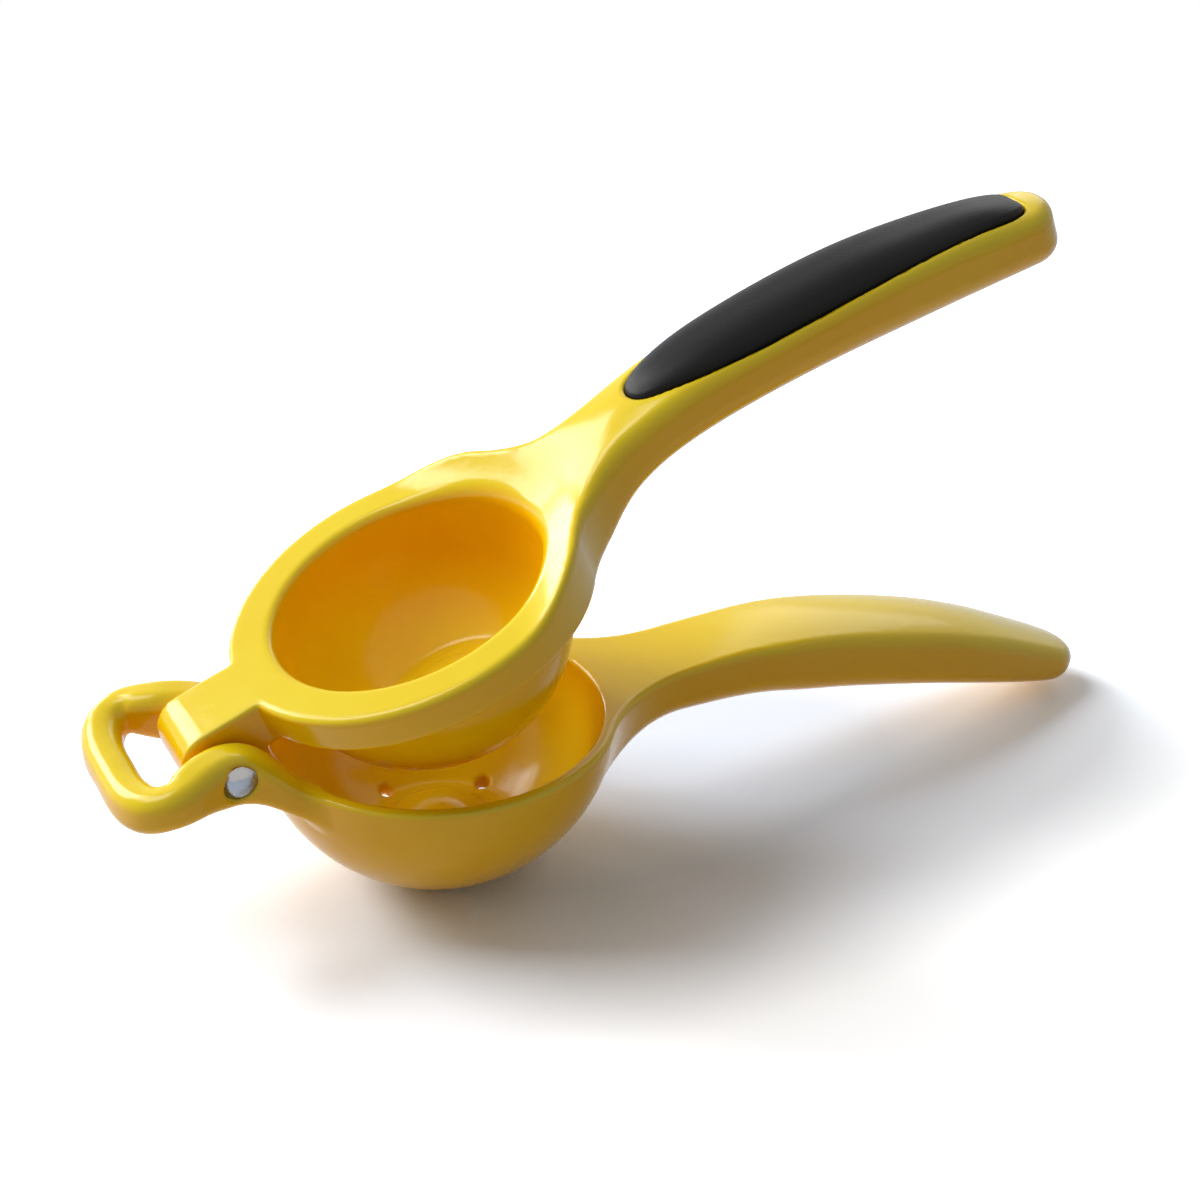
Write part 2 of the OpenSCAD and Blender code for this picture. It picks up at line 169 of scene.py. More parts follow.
UPPER_CROWN = ((70, 3.4), (74, 4.8), (79.4, 7.9), (83.8, 10.8), (88.4, 13.5), (94.2, 16.3), (103, 18.9),
               (113, 20.6), (131, 20.9), (147, 20.4), (163, 19.2), (180, 16.8), (195, 13.2), (210, 9.2))
UPPER_LEAD = ((50, 0.38), (84, 0.38), (90, 0.27), (95, 0.17), (100, 0.06), (106, 0.0), (210, 0.0))
UPPER_DROP = ((82, 0.0), (90, 0.7), (100, 1.6), (113, 2.2), (170, 2.2), (210, 2.0))
UPPER_BELLY = ((60, -1.0), (72, -1.1), (79.4, -1.2), (84, -1.2), (89, -0.6), (94.2, 1.4), (103, 4.5),
               (113, 5.9), (131, 6.2), (147, 5.4), (163, 3.7), (180, 1.4), (195, -1.0), (210, -3.4))
UPPER_HALF = ((60, 10.8), (100, 10.8), (113, 11.0), (131, 11.8), (147, 12.2), (163, 12.0), (180, 11.1),
              (195, 9.9), (210, 8.6))
UPPER_EDGE = ((-10, 0.7), (8, 0.7), (14, 1.2), (22, 1.6), (50, 1.6), (70, 1.6), (78, 1.9), (88, 3.2),
              (98, 3.4), (115, 2.8), (195, 2.8), (210, 2.6))
UPPER_UNDER = ((60, 1.5), (80, 2.0), (90, 4.0), (105, 6.0), (180, 6.0), (210, 4.5))

# The bar's half from its root in the bowl past the pin to the loop's back: x and y of its middle, half
# width, top over the rim and bottom over the floor
LOOP = ((-27.4, 16.5, 1.6, -1.4, 27.3), (-31.9, 15.7, 2.9, 0.2, 28.0), (-37.3, 14.8, 4.2, 5.0, 31.8),
        (-42.7, 13.6, 4.8, 10.3, 35.6), (-48.0, 13.0, 5.0, 12.4, 36.8), (-52.0, 14.2, 4.9, 12.8, 37.4),
        (-56.4, 16.4, 4.7, 12.4, 38.4), (-60.4, 18.2, 4.3, 11.4, 38.6), (-64.0, 17.0, 4.1, 10.2, 37.3),
        (-66.6, 12.4, 4.1, 9.2, 36.1), (-67.6, 5.3, 4.0, 8.7, 36.3), (-67.6, 0.0, 4.0, 8.7, 36.6))

PAD_SIDE = ((106.0, 0.0), (106.5, 2.3), (107.7, 3.9), (111, 5.7), (117, 7.6), (131, 9.5), (147, 10.1),
            (163, 9.7), (180, 8.3), (192, 6.9), (198.5, 5.8), (201.0, 4.3), (201.7, 0.0))
PAD_EDGE = ((106, 19.4), (111, 20.1), (117, 20.5), (131, 20.5), (147, 19.9), (163, 18.7), (180, 16.4),
            (192, 14.1), (201.7, 11.7))
PAD_CROWN = ((106, 0.3), (111, 1.5), (117, 2.3), (131, 3.0), (147, 3.2), (163, 3.1), (180, 2.4),
             (192, 1.8), (201.7, 0.5))

# Points along the bar's half and along the pad's side
LOOP_ROWS = 140
PAD_ROWS = 160
# Share of the half width out to which a handle's top goes on falling
WIDEST = 1.2
# Share of a mesh step over which a field's slope is taken, and the least square of a slope that divides
PROBE = 0.05
FLATTEST = 0.05

# Each lamp's turn from behind the object towards the left and its rise over the floor, in degrees, and
# its width in metres, all at one distance from the point that the camera looks at
LAMPS = {"key": (34, 26, 0.9), "left": (54, 52, 0.9), "right": (-45, 28, 0.9), "low": (12, 8, 0.4)}
LAMP_DISTANCE = 2.0
FLOOR_REACH = 4.0
# Place along x and stretch of the oval round the object, in which the floor near it is a painted shade
OVAL_MIDDLE = 0.05
OVAL_STRETCH = 2
# Width of the camera's sensor in millimetres
SENSOR_WIDTH = 36


def curve(points):
    """Smooth height over a place, in metres: on each span a cubic whose slope and bend match its
    neighbours'."""
    x, y = (np.array(points, float) * MM).T
    gap = np.diff(x)
    rule = np.eye(len(x))
    inner = np.arange(1, len(x) - 1)
    rule[inner, inner - 1] = gap[:-1]
    rule[inner, inner] = 2 * (gap[:-1] + gap[1:])
    rule[inner, inner + 1] = gap[1:]
    rise = np.diff(y) / gap
    bend = np.linalg.solve(rule, np.concatenate([[0], 6 * np.diff(rise), [0]]))

    def height(place):
        t = np.clip(place, x[0], x[-1])
        k = np.clip(np.searchsorted(x, t, side="right") - 1, 0, len(gap) - 1)
        u, v, g = t - x[k], x[k + 1] - t, gap[k]
        return ((bend[k] * v ** 3 + bend[k + 1] * u ** 3) / (6 * g)
                + (y[k] / g - bend[k] * g / 6) * v + (y[k + 1] / g - bend[k + 1] * g / 6) * u)

    return height


def steep(height, place, reach=0.2 * MM):
    """How many times longer the way to a height curve is straight up than square to it: the root of one
    plus the slope squared."""
    return np.sqrt(1 + ((height(place + reach) - height(place - reach)) / (2 * reach)) ** 2)


def join(a, b, r):
    """Union of two distances with a hollow fillet: the larger of r and the nearer distance, less the
    length of the two shortfalls from r."""
    return np.maximum(r, np.minimum(a, b)) - np.hypot(np.maximum(r - a, 0), np.maximum(r - b, 0))


def trim(a, b, r):
    """What two distances share, with its edge rounded: the union turned inside out."""
    return -join(-a, -b, r)


def flared(x, y, ring, radius, bar, half, fillet):
    """Plan distance of a circle about the origin and a bar of half width half along x, with a true
    fillet: in the wedge between the two points where the fillet's circle touches them, its radius less
    the distance from its middle, and elsewhere the nearer of the two."""
    cy = half + fillet
    cx = np.sqrt(np.maximum((radius + fillet) ** 2 - cy ** 2, 0))
    wedge = (x < cx) & (cy * (x - cx) > cx * (y - cy))
    return np.where(wedge, fillet - np.hypot(x - cx, y - cy), np.minimum(ring - radius, bar))


def higher(a, b, soft):
    """The higher of two heights, raised where they are less than soft apart by the square of what they
    fall short of it over four times soft."""
    near = np.maximum(soft - np.abs(a - b), 0)
    return np.maximum(a, b) + near ** 2 / (4 * soft)


def fallen(drop, half, x, y):
    """Fall of a handle's top from its middle: the drop at the edge times the square of the share of the
    half width, which counts up to the widest."""
    return drop(x) * np.minimum(y / half(x), WIDEST) ** 2


def outline_distance(points, cell=0.25 * MM, margin=4 * MM):
    """Distance from a closed outline in plan: that of its nearest side, below zero where a line along x
    crosses an odd number of sides. It is worked out on a grid and read between the corners of a cell."""
    start, end = points, np.roll(points, -1, axis=0)
    low = points.min(axis=0) - margin
    count = np.ceil((points.max(axis=0) + margin - low) / cell).astype(int) + 1
    gx = low[0] + cell * np.arange(count[0])[:, None, None]
    gy = low[1] + cell * np.arange(count[1])[None, :, None]
    way = end - start
    along = (gx - start[:, 0]) * way[:, 0] + (gy - start[:, 1]) * way[:, 1]
    along = np.clip(along / (way ** 2).sum(1), 0, 1)
    far = np.hypot(gx - start[:, 0] - along * way[:, 0], gy - start[:, 1] - along * way[:, 1]).min(axis=2)
    crossed = (start[:, 1] > gy) != (end[:, 1] > gy)
    level = np.where(way[:, 1] == 0, 1, way[:, 1])
    left = gx < start[:, 0] + (gy - start[:, 1]) / level * way[:, 0]
    grid = np.where((crossed & left).sum(axis=2) % 2 == 1, -far, far)
    # Just short of the last row and column, so that each cell has its far corner
    last = count - 1.001

    def distance(x, y):
        x, y = np.broadcast_arrays((x - low[0]) / cell, (y - low[1]) / cell)
        inside_x, inside_y = np.clip(x, 0, last[0]), np.clip(y, 0, last[1])
        i, j = inside_x.astype(int), inside_y.astype(int)
        u, v = inside_x - i, inside_y - j
        value = ((grid[i, j] * (1 - u) + grid[i + 1, j] * u) * (1 - v)
                 + (grid[i, j + 1] * (1 - u) + grid[i + 1, j + 1] * u) * v)
        return value + cell * np.hypot(x - inside_x, y - inside_y)

    return distance


def along_curve(points, count):
    """Rows at even steps on a smooth curve through the points, each column a curve over the way along
    them."""
    rows = np.array(points, float)
    way = np.concatenate([[0], np.cumsum(np.hypot(*np.diff(rows[:, :2], axis=0).T))])
    steps = np.linspace(0, way[-1], count)
    return np.stack([curve(np.stack([way, column], 1))(steps * MM) for column in rows.T], 1)


def skin(field, low, high, step, spare=2, settle=3):
    """Surface where field(x, y, z) is zero, mirrored in y, on a grid that reaches a few spare steps past
    low and high. Each grid cell that it crosses gets one point, the mean of the crossings on the cell's
    edges, and each crossed grid edge a face of four. The points are then evened out and moved along the
    field's slope onto the surface, a few times over."""
    low, high = low - spare * step, high + spare * step
    x, z = (np.arange(low[k], high[k] + step, step) for k in (0, 2))
    y = (np.arange(math.ceil(high[1] / step) + 1) + 0.5) * step
    half = field(x[:, None, None], y[None, :, None], z[None, None, :])
    value = np.concatenate([half[:, ::-1], half], axis=1)
    start = np.array([x[0], -y[-1], z[0]])
    solid = value < 0
    corners = np.array([[i, j, k] for i in (0, 1) for j in (0, 1) for k in (0, 1)])
    shape = np.array(solid.shape) - 1
    filled = sum(solid[i:i + shape[0], j:j + shape[1], k:k + shape[2]].astype(np.int8)
                 for i, j, k in corners)
    crossed = (filled > 0) & (filled < 8)
    cells = np.argwhere(crossed)
    at = value[tuple((cells[:, None] + corners).reshape(-1, 3).T)].reshape(-1, 8)
    pairs = [(a, b) for a in range(8) for b in range(a) if np.abs(corners[a] - corners[b]).sum() == 1]
    middle, hits = np.zeros((len(cells), 3)), np.zeros((len(cells), 1))
    for a, b in pairs:
        cut = (at[:, a] < 0) != (at[:, b] < 0)
        share = np.where(cut, at[:, a] / np.where(cut, at[:, a] - at[:, b], 1), 0)[:, None]
        middle += np.where(cut[:, None], corners[a] + share * (corners[b] - corners[a]), 0)
        hits += cut[:, None]
    points = start + (cells + middle / hits) * step
    number = np.full(shape, -1)
    number[crossed] = np.arange(len(cells))
    faces = []
    for axis in range(3):
        u, v = np.roll(np.arange(3), -axis)[1:]
        first = np.moveaxis(solid, axis, 0)
        first, second = np.moveaxis(first[:-1], 0, axis), np.moveaxis(first[1:], 0, axis)
        edge = np.argwhere(first != second)
        one_u, one_v = np.eye(3, dtype=int)[u], np.eye(3, dtype=int)[v]
        quad = np.stack([number[tuple((edge + move).T)]
                         for move in (-one_u - one_v, -one_v, 0 * one_u, -one_u)], 1)
        outward = first[tuple(edge.T)]
        faces.append(np.where(outward[:, None], quad, quad[:, ::-1]))
    faces = np.concatenate(faces)
    for _ in range(settle):
        points = onto(field, evened(points, faces), step)
    return onto(field, points, step), faces


def evened(points, faces):
    """Each point moved halfway to the mean of its neighbours."""
    a, b = faces.ravel(), np.roll(faces, -1, axis=1).ravel()
    a, b = np.concatenate([a, b]), np.concatenate([b, a])
    count = np.bincount(a, minlength=len(points))[:, None]
    mean = np.stack([np.bincount(a, points[b, k], len(points)) for k in range(3)], 1) / count
    return (points + mean) / 2


def onto(field, points, step):
    """Points moved to where the field is zero: back along its slope by its value over the slope's
    square, and by a step at most."""
    reach = step * PROBE
    value = field(points[:, 0], np.abs(points[:, 1]), points[:, 2])
    slope = []
    for move in np.eye(3) * reach:
        ahead, back = points + move, points - move
        slope.append(field(ahead[:, 0], np.abs(ahead[:, 1]), ahead[:, 2])
                     - field(back[:, 0], np.abs(back[:, 1]), back[:, 2]))
    slope = np.stack(slope, 1) / (2 * reach)
    shift = slope * (value / np.maximum((slope ** 2).sum(1), FLATTEST))[:, None]
    size = np.linalg.norm(shift, axis=1, keepdims=True)
    return points - shift * np.minimum(1, step / np.maximum(size, np.finfo(float).eps))


def add_mesh(name, points, faces, body, node, material):
    """A smooth mesh object that rides on a body in place of a node."""
    mesh = bpy.data.meshes.new(name)
    mesh.from_pydata(points.tolist(), [], faces.tolist() if isinstance(faces, np.ndarray) else faces)
    mesh.shade_smooth()
    mesh.materials.append(material)
    piece = bpy.data.objects.new(name, mesh)
    bpy.context.scene.collection.objects.link(piece)
    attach(piece, body)
    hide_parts(node)
    return piece


def domed(ring, z, base, height, floor):
    """Distance from a ball whose cap stands on a circle of radius base at floor and is height high. The
    ball's radius is the sum of their squares over twice the height."""
    ball = (base ** 2 + height ** 2) / (2 * height)
    return np.hypot(ring, z - floor - height + ball) - ball


def strainer_field(bowl, hinge, handle):
    """Distance from the strainer casting: the ball of the bowl flared into the handle's bar, cut to its
    top and belly, joined to the ears' bar, less the hollow, the slot, the pin's bore and seats and the
    drain holes."""
    crown, drop, belly, half, edge, under = map(
        curve, (LOWER_CROWN, LOWER_DROP, LOWER_BELLY, LOWER_HALF, LOWER_EDGE, LOWER_UNDER))
    middle = math.sqrt(bowl.radius ** 2 - bowl.foot ** 2)
    hollow = bowl.radius - bowl.wall
    dome_floor = middle - math.sqrt(hollow ** 2 - bowl.dome ** 2)
    slot_half = hinge.tongue + hinge.tongue_gap
    slot_back = PIN_X - hinge.nose - hinge.slot_floor
    ear_out = slot_half + hinge.ear
    bar = along_curve(LOOP, LOOP_ROWS)
    drains = (np.arange(bowl.drains) + 0.5) * 2 * math.pi / bowl.drains

    def loop_distance(x, y, z):
        """Distance from the rounded bar: plan distance from its middle line less its half width, cut to
        its top and underside."""
        x, y = np.broadcast_arrays(x, y)
        near = x < bar[0, 0] + bowl.wall
        px, py = x[near], y[near]
        nearest = ((px[:, None] - bar[:, 0]) ** 2 + (py[:, None] - bar[:, 1]) ** 2).argmin(axis=1)
        first = np.clip(nearest - 1, 0, len(bar) - 3)
        before, way = bar[first], bar[first + 2] - bar[first]
        share = (px - before[:, 0]) * way[:, 0] + (py - before[:, 1]) * way[:, 1]
        share = share / (way[:, :2] ** 2).sum(1)
        row = before + np.clip(share, 0, 1)[:, None] * way
        away, top, low = np.full((3, *x.shape), bowl.radius)
        away[near] = np.hypot(px - row[:, 0], py - row[:, 1]) - row[:, 2]
        top[near] = bowl.rim + row[:, 3]
        low[near] = row[:, 4]
        return trim(trim(away, z - top, hinge.ear_round), low - z, hinge.ear_under)

    def field(x, y, z):
        ring = np.hypot(x, y)
        ball = np.hypot(ring, z - middle) - bowl.radius
        level = np.sqrt(np.maximum(bowl.radius ** 2 - (z - middle) ** 2, bowl.foot ** 2))
        side = np.maximum((y - half(x)) / steep(half, x), -x)
        neck = flared(x, y, ring, level, side, half(0), handle.strainer_flare)
        lean = handle.tip_lean * (handle.tip_level - z)
        neck = trim(neck, x - handle.strainer_reach + lean, handle.strainer_tip)
        neck = trim(neck, (belly(ring) - z) / steep(belly, ring), under(x))
        body = np.minimum(ball, neck)
        top = crown(x) - fallen(drop, half, x, y)
        body = trim(body, (z - top) / steep(crown, x), edge(x))
        body = trim(body, -z, bowl.foot_round)
        body = join(body, loop_distance(x, y, z), hinge.web_blend)
        air = trim(np.where(z < middle, np.hypot(ring, z - middle), ring) - hollow,
                   -domed(ring, z, bowl.dome, bowl.dome_height, dome_floor), bowl.dome_blend)
        body = trim(body, -air, bowl.rim_round)
        slot = np.maximum(y - slot_half, bowl.rim + hinge.slot_floor - z)
        slot = np.maximum(slot, np.maximum(x + hollow - bowl.wall, slot_back - x))
        body = trim(body, -slot, hinge.slot_round)
        pin = np.hypot(x - PIN_X, z - PIN_Z)
        body = np.maximum(body, hinge.pin - pin)
        seat = np.maximum(pin - hinge.head - hinge.seat_gap, ear_out - hinge.seat_depth - y)
        body = trim(body, -seat, hinge.seat_round)
        for angle in drains:
            drain_x, drain_y = bowl.drain_ring * math.cos(angle), bowl.drain_ring * abs(math.sin(angle))
            hole = np.hypot(x - drain_x, y - drain_y)
            body = np.where(z < middle / 2, trim(body, bowl.drain - hole, bowl.drain_round), body)
        return body

    return field


def pad_outline():
    """Closed outline of the pad in plan, round from its hinge end: a smooth curve and its mirror image."""
    side = along_curve(PAD_SIDE, PAD_ROWS)
    return np.concatenate([side, side[-2:0:-1] * [1, -1]])


def press_field(cup, hinge, handle):
    """Distance from the press casting, in its own frame with the pin at the origin: the plate's circle
    flared into the handle's bar, cut to its top and belly, joined to the cup's ball and the tongue, less
    the hollow, the pin's bore and the pad's recess."""
    crown, lead, drop, belly, half, edge, under = map(
        curve, (UPPER_CROWN, UPPER_LEAD, UPPER_DROP, UPPER_BELLY, UPPER_HALF, UPPER_EDGE, UPPER_UNDER))
    pad_edge = curve(PAD_EDGE)
    axis = -PIN_X
    hollow = cup.radius - cup.wall
    dome_floor = -math.sqrt(hollow ** 2 - cup.dome ** 2)
    pad = outline_distance(pad_outline())

    def field(x, y, z):
        ring = np.hypot(x - axis, y)
        bar = np.maximum((y - half(x)) / steep(half, x), axis - x)
        plan = flared(x - axis, y, ring, cup.plate, bar, half(0), handle.press_flare)
        plan = trim(plan, x - handle.press_reach, handle.press_tip)
        body = trim(plan, (belly(x) - z) / steep(belly, x), under(x))
        dome = domed(ring, z, cup.dome, cup.dome_height, dome_floor)
        ball = trim(np.hypot(ring, z) - cup.radius, -dome - cup.wall, cup.ball_round)
        body = join(body, np.maximum(ball, z - cup.face + cup.ball_depth), cup.under_blend)
        front = trim(-x - hinge.nose, -hinge.nose_low - z, hinge.nose_low_round)
        floor = np.where(x < hinge.nose, -hinge.nose_low - z, -hinge.tongue_low - z)
        tongue = np.maximum(np.maximum(front, floor), x - axis + hollow)
        tongue = trim(tongue, y - hinge.tongue, hinge.tongue_round)
        body = join(body, tongue, hinge.tongue_blend)
        along = x + lead(x) / MM * (np.hypot(y, handle.neck_middle) - handle.neck_middle)
        rise = higher(crown(along) - fallen(drop, half, x, y), cup.face, handle.neck_soft)
        turn_x, turn_z = hinge.nose_round - hinge.nose, cup.face - hinge.nose_round
        over = np.hypot(x - turn_x, np.maximum(z - turn_z, 0)) - hinge.nose_round
        over = over - np.maximum(turn_z - z, 0)
        top = np.where(x < turn_x, over, (z - rise) / steep(crown, along))
        body = trim(body, top, edge(x))
        air = trim(np.where(z < 0, np.hypot(ring, z), ring) - hollow, -dome, cup.dome_blend)
        share = np.clip((x - axis + hollow) / (2 * hollow), 0, 1)
        body = trim(body, -air, cup.mouth_round + share ** 2 * (cup.mouth_neck - cup.mouth_round))
        body = np.maximum(body, hinge.pin + hinge.bore_gap - np.hypot(x, z))
        recess = np.maximum(pad(x, y) - handle.pad_gap, pad_edge(x) - handle.pad_depth - z)
        return trim(body, -recess, handle.lip_round)

    return field


def raised(points, angle):
    """Points of the press arm's frame turned about the pin by the opening angle and set at the pin."""
    c, s = math.cos(angle), math.sin(angle)
    x, y, z = points.T
    return np.stack([PIN_X + x * c - z * s, y, PIN_Z + x * s + z * c], 1)


def grid_faces(rows, count):
    """Faces of a grid whose rows are closed rings of count points."""
    index = np.arange(rows * count).reshape(rows, count)
    after = np.roll(index, -1, axis=1)
    return np.stack([index[:-1], index[1:], after[1:], after[:-1]], -1).reshape(-1, 4)


def paired_grid(rings):
    """Points and faces of stacked rings with a point at each end of their length. The first and last
    rings are closed by faces between each point and its mirror image."""
    rows, count = rings.shape[:2]
    faces = grid_faces(rows, count).tolist()
    k = np.arange(count // 2)
    across = np.stack([k, k + 1, (count - k - 1) % count, (count - k) % count], 1)
    for start, turn in ((0, 1), ((rows - 1) * count, -1)):
        for face in (start + across[:, ::turn]).tolist():
            faces.append(list(dict.fromkeys(face)))
    return rings.reshape(-1, 3), faces


def closed_grid(rings):
    """Points and faces of stacked rings, the first and last of which are closed by a fan of triangles."""
    rows, count = rings.shape[:2]
    faces = grid_faces(rows, count).tolist()
    ring = np.arange(count)
    for end, last in ((0, rows * count), (rows - 1, rows * count + 1)):
        fan = np.stack([end * count + np.roll(ring, -1), end * count + ring, np.full(count, last)], 1)
        faces += (fan[:, ::-1] if end == 0 else fan).tolist()
    return np.concatenate([rings.reshape(-1, 3), rings[[0, -1]].mean(axis=1)]), faces


def arc(cx, cy, radius, start, end, count):
    """Points on a round stretch from one angle to another, in degrees."""
    angle = np.radians(np.linspace(start, end, count))
    return np.stack([cx + radius * np.cos(angle), cy + radius * np.sin(angle)], 1)


def turned_pin(hinge, ear_out, turns=96, edge_points=7, edge_end=30, cap_points=20, cap_end=89.6):
    """The pin: a profile of radius and place, from the middle out over one head, and its mirror image,
    turned about the pin's axis. The head is a cap whose edge lies in the seat and is rounded off
    underneath, up to edge_end degrees. The cap ends at cap_end degrees, just short of the axis, where
    the grid is closed."""
    seat = ear_out - hinge.seat_depth
    soft = hinge.head_soft
    rise = hinge.head_rise + hinge.seat_depth - soft
    cap = (hinge.head ** 2 + rise ** 2) / (2 * rise)
    tilt = math.degrees(math.asin((hinge.head - soft / 2) / cap))
    half = np.concatenate([
        [[hinge.pin, 0], [hinge.pin, seat]],
        arc(hinge.head - soft, seat + soft, soft, -90, edge_end, edge_points),
        arc(0, ear_out + hinge.head_rise - cap, cap, 90 - tilt, cap_end, cap_points)])
    profile = np.concatenate([half[:0:-1] * [1, -1], half])
    turn = np.linspace(0, 2 * math.pi, turns, endpoint=False)
    x = profile[:, :1] * np.cos(turn)
    z = profile[:, :1] * np.sin(turn)
    y = np.broadcast_to(profile[:, 1:], x.shape)
    return closed_grid(np.stack([PIN_X + x, y, PIN_Z + z], -1))


def crowned_pad(handle, spine_share=0.93, under_share=0.98, crown_share=0.985, spread=1.4, under_rows=10,
                edge_rows=8, crown_rows=24):
    """The pad: its outline in plan carried along a profile. The profile goes from the middle of the flat
    underside out to the side wall, up it, round the upper edge and over the crown to the spine. The
    spine is the outline pressed onto its middle line and shortened. A point's share of the way from the
    outline to the spine sets its place, and the crown is one less the cube of the rest of that way. The
    crown's rows stand closer together near the edge, by a power, and all rows end just short of the
    spine."""
    outline = pad_outline()
    edge, crown = curve(PAD_EDGE), curve(PAD_CROWN)
    middle = (outline[:, 0].max() + outline[:, 0].min()) / 2
    spine = np.stack([middle + (outline[:, 0] - middle) * spine_share, 0 * outline[:, 0]], 1)
    way = np.hypot(*(spine - outline).T)
    soft = handle.pad_round

    def inward(share):
        """Places at a share of the way from the outline to the spine."""
        return outline + share * (spine - outline)

    def top(place, share):
        """Height of the pad's top at these places."""
        return edge(place[:, 0]) + crown(place[:, 0]) * (1 - (1 - share) ** 3)

    rings = [np.column_stack([inward(share), edge(outline[:, 0]) - handle.pad_depth])
             for share in np.linspace(under_share, 0, under_rows)]
    for angle in np.radians(np.linspace(0, 90, edge_rows)):
        share = soft * (1 - math.cos(angle)) / way
        place = inward(share[:, None])
        rings.append(np.column_stack([place, top(place, share) - soft * (1 - math.sin(angle))]))
    start = soft / way
    for step in np.linspace(0, 1, crown_rows + 1)[1:] ** spread:
        share = start + (crown_share - start) * step
        place = inward(share[:, None])
        rings.append(np.column_stack([place, top(place, share)]))
    return paired_grid(np.array(rings))


def colour(name, text, value, **limits):
    """A colour for a property group: red, green and blue."""
    return FloatVectorProperty(name=name, description=text, default=value, size=3, min=0, **limits)


def fraction(name, text, value):
    """A number from 0 to 1 for a property group."""
    return FloatProperty(name=name, description=text, default=value, min=0, max=1, subtype="FACTOR")


def power(name, text, value):
    """A lamp's power in watts for a property group."""
    return FloatProperty(name=name, description=text, default=value, min=0, subtype="POWER")


class FinishColours(bpy.types.PropertyGroup):
    """Colours and gloss of the finishes."""
    # The two enamel colours are painted light and shade: the pale one goes on faces that look up, the
    # deeper one on the rest.
    enamel: colour("Enamel", "Colour of the enamel where it is thin", (0.97, 0.74, 0.008), max=1,
                   subtype="COLOR")
    enamel_painted_shade: colour("Enamel, deeper", "Colour of the enamel where it is thick", (0.97, 0.51, 0.001),
                        max=1, subtype="COLOR")
    enamel_rough: fraction("Enamel roughness", "Middle roughness of the enamel", 0.18)
    enamel_uneven: fraction("Enamel unevenness", "How far the enamel's roughness goes either way", 0.05)
    enamel_specular: fraction("Enamel reflection", "Specular level of the enamel", 0.3)
    rubber: colour("Rubber", "Colour of the grip pad", (0.010, 0.0096, 0.0092), max=1, subtype="COLOR")
    rubber_rough: fraction("Rubber roughness", "Roughness of the grip pad", 0.4)
    rubber_specular: fraction("Rubber reflection", "Specular level of the grip pad", 0.12)
    steel: colour("Steel", "Colour of the pin", (0.42, 0.41, 0.4), max=1, subtype="COLOR")
    steel_smooth: fraction("Steel, smoothest", "Roughness of the pin where it is smoothest", 0.1)
    steel_rough: fraction("Steel, roughest", "Roughness of the pin where it is roughest", 0.4)


class StageSizes(bpy.types.PropertyGroup):
    """Camera, light and floor."""
    azimuth: FloatProperty(name="Azimuth", description="Camera's turn from looking along +Y",
                           subtype="ANGLE", default=math.radians(-26.9033))
    elevation: FloatProperty(name="Elevation", description="Camera's height over the horizon",
                             subtype="ANGLE", default=math.radians(29.4279))
    distance: length("Distance", "Camera's distance from the point it looks at", 478.42)
    target: FloatVectorProperty(name="Target", description="Point that the camera looks at", size=3,
                                subtype="TRANSLATION", default=(0.0411848, 0.0057394, 0.0486442))
    focal_pixels: FloatProperty(name="Focal length", description="Focal length in pixels of the picture",
                                default=2234.29)
    picture_pixels: IntProperty(name="Picture", description="Width of the square picture in pixels",
                                default=1200)
    key: power("Key light", "Power of the large soft box behind on the left", 25.0)
    left: power("Left light", "Power of the soft box high on the left", 16.0)
    right: power("Right light", "Power of the soft box behind on the right", 4.0)
    low: power("Low light", "Power of the small soft box low behind the object", 4.5)
    surround: FloatProperty(name="Surround", description="Strength of the even light from all round",
                            default=0.17)
    floor: colour("Floor", "Colour of the floor as light meets it", (0.82, 0.82, 0.82), max=1,
                  subtype="COLOR")
    # Painted shade: near the object the floor is darker and cooler to the camera and in gloss, as a
    # painted shadow round it, out to the oval's half width given next.
    floor_painted_shade: colour("Floor near the object", "Colour to the camera near the object, cool against the "
                       "light that the enamel throws on it", (0.95, 1.12, 1.4))
    floor_seen: colour("Floor as seen", "Colour of the open floor to the camera", (2.0, 2.05, 2.1))
    painted_shade_end: length("Near floor", "Half width of the oval that has the near colour", 30)
    seen_start: length("Open floor", "Half width of the oval past which the open colour is full", 80)
    seen_end: length("Open floor's end", "Half width of the oval past which the floor fades out", 200)
    white_start: length("White floor", "Half width of the oval past which the floor is plain white", 450)


def fill(tree, node, inputs):
    """Links a node's inputs that are given a socket, and sets the others."""
    for key, value in inputs.items():
        if isinstance(value, bpy.types.NodeSocket):
            tree.links.new(value, node.inputs[key])
        else:
            node.inputs[key].default_value = value


def adder(tree):
    """A function that adds a node to a tree, with its settings, and fills its inputs."""
    def add(kind, inputs=None, **settings):
        node = tree.nodes.new(kind)
        for key, value in settings.items():
            setattr(node, key, value)
        fill(tree, node, inputs or {})
        return node

    return add


def nodes_of(name):
    """A new material, its node tree and shader, and a function that adds a node."""
    material = bpy.data.materials.new(name)
    material.use_nodes = True
    tree = material.node_tree
    return material, tree, tree.nodes["Principled BSDF"], adder(tree)


def mixed(add, factor, *ends):
    """Colour between two ends by a factor socket. An end is a socket, or red, green and blue."""
    a, b = (end if isinstance(end, bpy.types.NodeSocket) else (*end, 1) for end in ends)
    return add("ShaderNodeMix", {0: factor, 6: a, 7: b}, data_type="RGBA").outputs[2]


def ranged(add, value, low, high, start=0.0, end=1.0):
    """A socket's values from start to end, spread from low to high and held there beyond."""
    return add("ShaderNodeMapRange", {"Value": value, "From Min": start, "From Max": end, "To Min": low,
                                      "To Max": high}).outputs["Result"]


def worked(add, operation, a, b, **settings):
    """What an operation makes of two sockets."""
    return add("ShaderNodeMath", {0: a, 1: b}, operation=operation, **settings).outputs[0]


